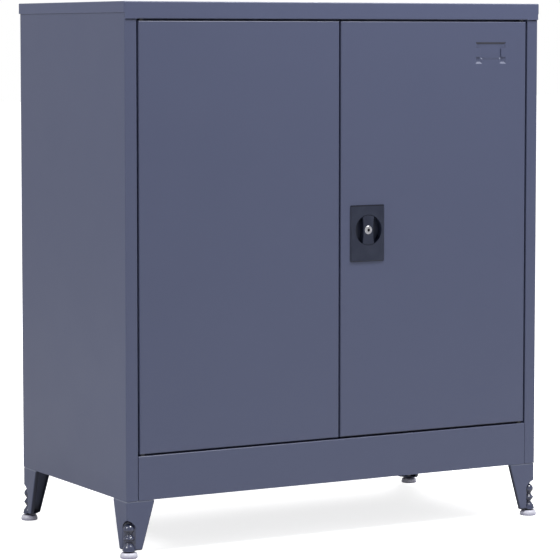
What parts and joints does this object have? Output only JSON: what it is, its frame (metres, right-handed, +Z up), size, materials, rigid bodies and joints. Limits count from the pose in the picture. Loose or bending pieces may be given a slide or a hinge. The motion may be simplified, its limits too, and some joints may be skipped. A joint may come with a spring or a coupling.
{
  "type": "two-door metal cabinet",
  "caption": "Low blue-grey sheet-steel cupboard with two hinged doors, a recessed turn handle, inner shelves, and tapered pressed legs on round levelling feet.",
  "frame": {"origin": "on the floor, under the middle of the body", "axes": "+Z up, -Y towards the front, where the doors are, +X to the right of someone who faces them"},
  "size_m": [0.9108, 0.4708, 1.006],
  "materials": {
    "cabinet_paint": "blue-grey powder coat, low sheen",
    "lock_black": "moulded black-blue plastic, soft gloss",
    "chrome": "polished",
    "zinc_steel": "bright zinc plate",
    "foot_plastic": "white moulded plastic",
    "nylon": "natural nylon",
    "rubber": "black, matt"
  },
  "bodies": {
    "carcass": {"top_cover": "cabinet_paint", "left_side_panel": "cabinet_paint", "right_side_panel": "cabinet_paint", "back_panel": "cabinet_paint", "floor_pan": "cabinet_paint", "upper_shelf": "cabinet_paint", "lower_shelf": "cabinet_paint", "front_left_upright": "cabinet_paint", "front_right_upright": "cabinet_paint", "rear_left_upright": "cabinet_paint", "rear_right_upright": "cabinet_paint", "shelf_clips": "zinc_steel", "front_left_leg": "cabinet_paint", "front_right_leg": "cabinet_paint", "rear_left_leg": "cabinet_paint", "rear_right_leg": "cabinet_paint", "leg_sleeves": "zinc_steel", "foot_lock_nuts": "zinc_steel", "leg_bolts": "zinc_steel", "leg_nuts": "zinc_steel", "cover_studs": "zinc_steel", "cover_nuts": "zinc_steel", "back_screws": "zinc_steel", "pivot_bushes": "nylon", "door_bumpers": "rubber"},
    "left_door": {"left_door_panel": "cabinet_paint", "left_door_stiffener": "cabinet_paint", "left_door_pins": "zinc_steel"},
    "right_door": {"right_door_panel": "cabinet_paint", "right_door_stiffener": "cabinet_paint", "right_door_pins": "zinc_steel", "lock_escutcheon": "lock_black", "lock_clamp_plate": "zinc_steel", "lock_screws": "zinc_steel", "bar_guides": "nylon"},
    "handle": {"turn_handle": "lock_black", "lock_ring": "chrome", "cam_plate": "zinc_steel", "cam_screw": "zinc_steel"},
    "plug": {"lock_plug": "chrome"},
    "upper_locking_bar": {"upper_bar": "zinc_steel"},
    "lower_locking_bar": {"lower_bar": "zinc_steel"},
    "front_left_levelling_foot": {"front_left_foot": "foot_plastic"},
    "front_right_levelling_foot": {"front_right_foot": "foot_plastic"},
    "rear_left_levelling_foot": {"rear_left_foot": "foot_plastic"},
    "rear_right_levelling_foot": {"rear_right_foot": "foot_plastic"}
  },
  "joints": [
    {"name": "left_door_hinge", "type": "hinge", "parent": "carcass", "child": "left_door", "pos_m": [-0.413, -0.2215, 0.5798], "axis": [0, 0, -1], "range_deg": [0, 110]},
    {"name": "right_door_hinge", "type": "hinge", "parent": "carcass", "child": "right_door", "pos_m": [0.413, -0.2215, 0.5798], "axis": [0, 0, 1], "range_deg": [0, 110]},
    {"name": "handle_turn", "type": "hinge", "parent": "right_door", "child": "handle", "pos_m": [0.0614, -0.2163, 0.5786], "axis": [0, 1, 0], "range_deg": [0, 90]},
    {"name": "key_turn", "type": "hinge", "parent": "handle", "child": "plug", "pos_m": [0.0614, -0.222, 0.5786], "axis": [0, 1, 0], "range_deg": [0, 90]},
    {"name": "upper_bar_slide", "type": "slide", "parent": "right_door", "child": "upper_locking_bar", "axis": [0, 0, 1], "range_m": [0, 0.01401]},
    {"name": "lower_bar_slide", "type": "slide", "parent": "right_door", "child": "lower_locking_bar", "axis": [0, 0, -1], "range_m": [0, 0.01401]},
    {"name": "front_left_foot_adjust", "type": "slide", "parent": "carcass", "child": "front_left_levelling_foot", "axis": [0, 0, -1], "range_m": [0, 0.012]},
    {"name": "front_right_foot_adjust", "type": "slide", "parent": "carcass", "child": "front_right_levelling_foot", "axis": [0, 0, -1], "range_m": [0, 0.012]},
    {"name": "rear_left_foot_adjust", "type": "slide", "parent": "carcass", "child": "rear_left_levelling_foot", "axis": [0, 0, -1], "range_m": [0, 0.012]},
    {"name": "rear_right_foot_adjust", "type": "slide", "parent": "carcass", "child": "rear_right_levelling_foot", "axis": [0, 0, -1], "range_m": [0, 0.012]}
  ],
  "couplings": [
    {"joint": "upper_bar_slide", "follows": "handle_turn", "m_per_rad": 0.0089127},
    {"joint": "lower_bar_slide", "follows": "handle_turn", "m_per_rad": 0.0089127}
  ]
}
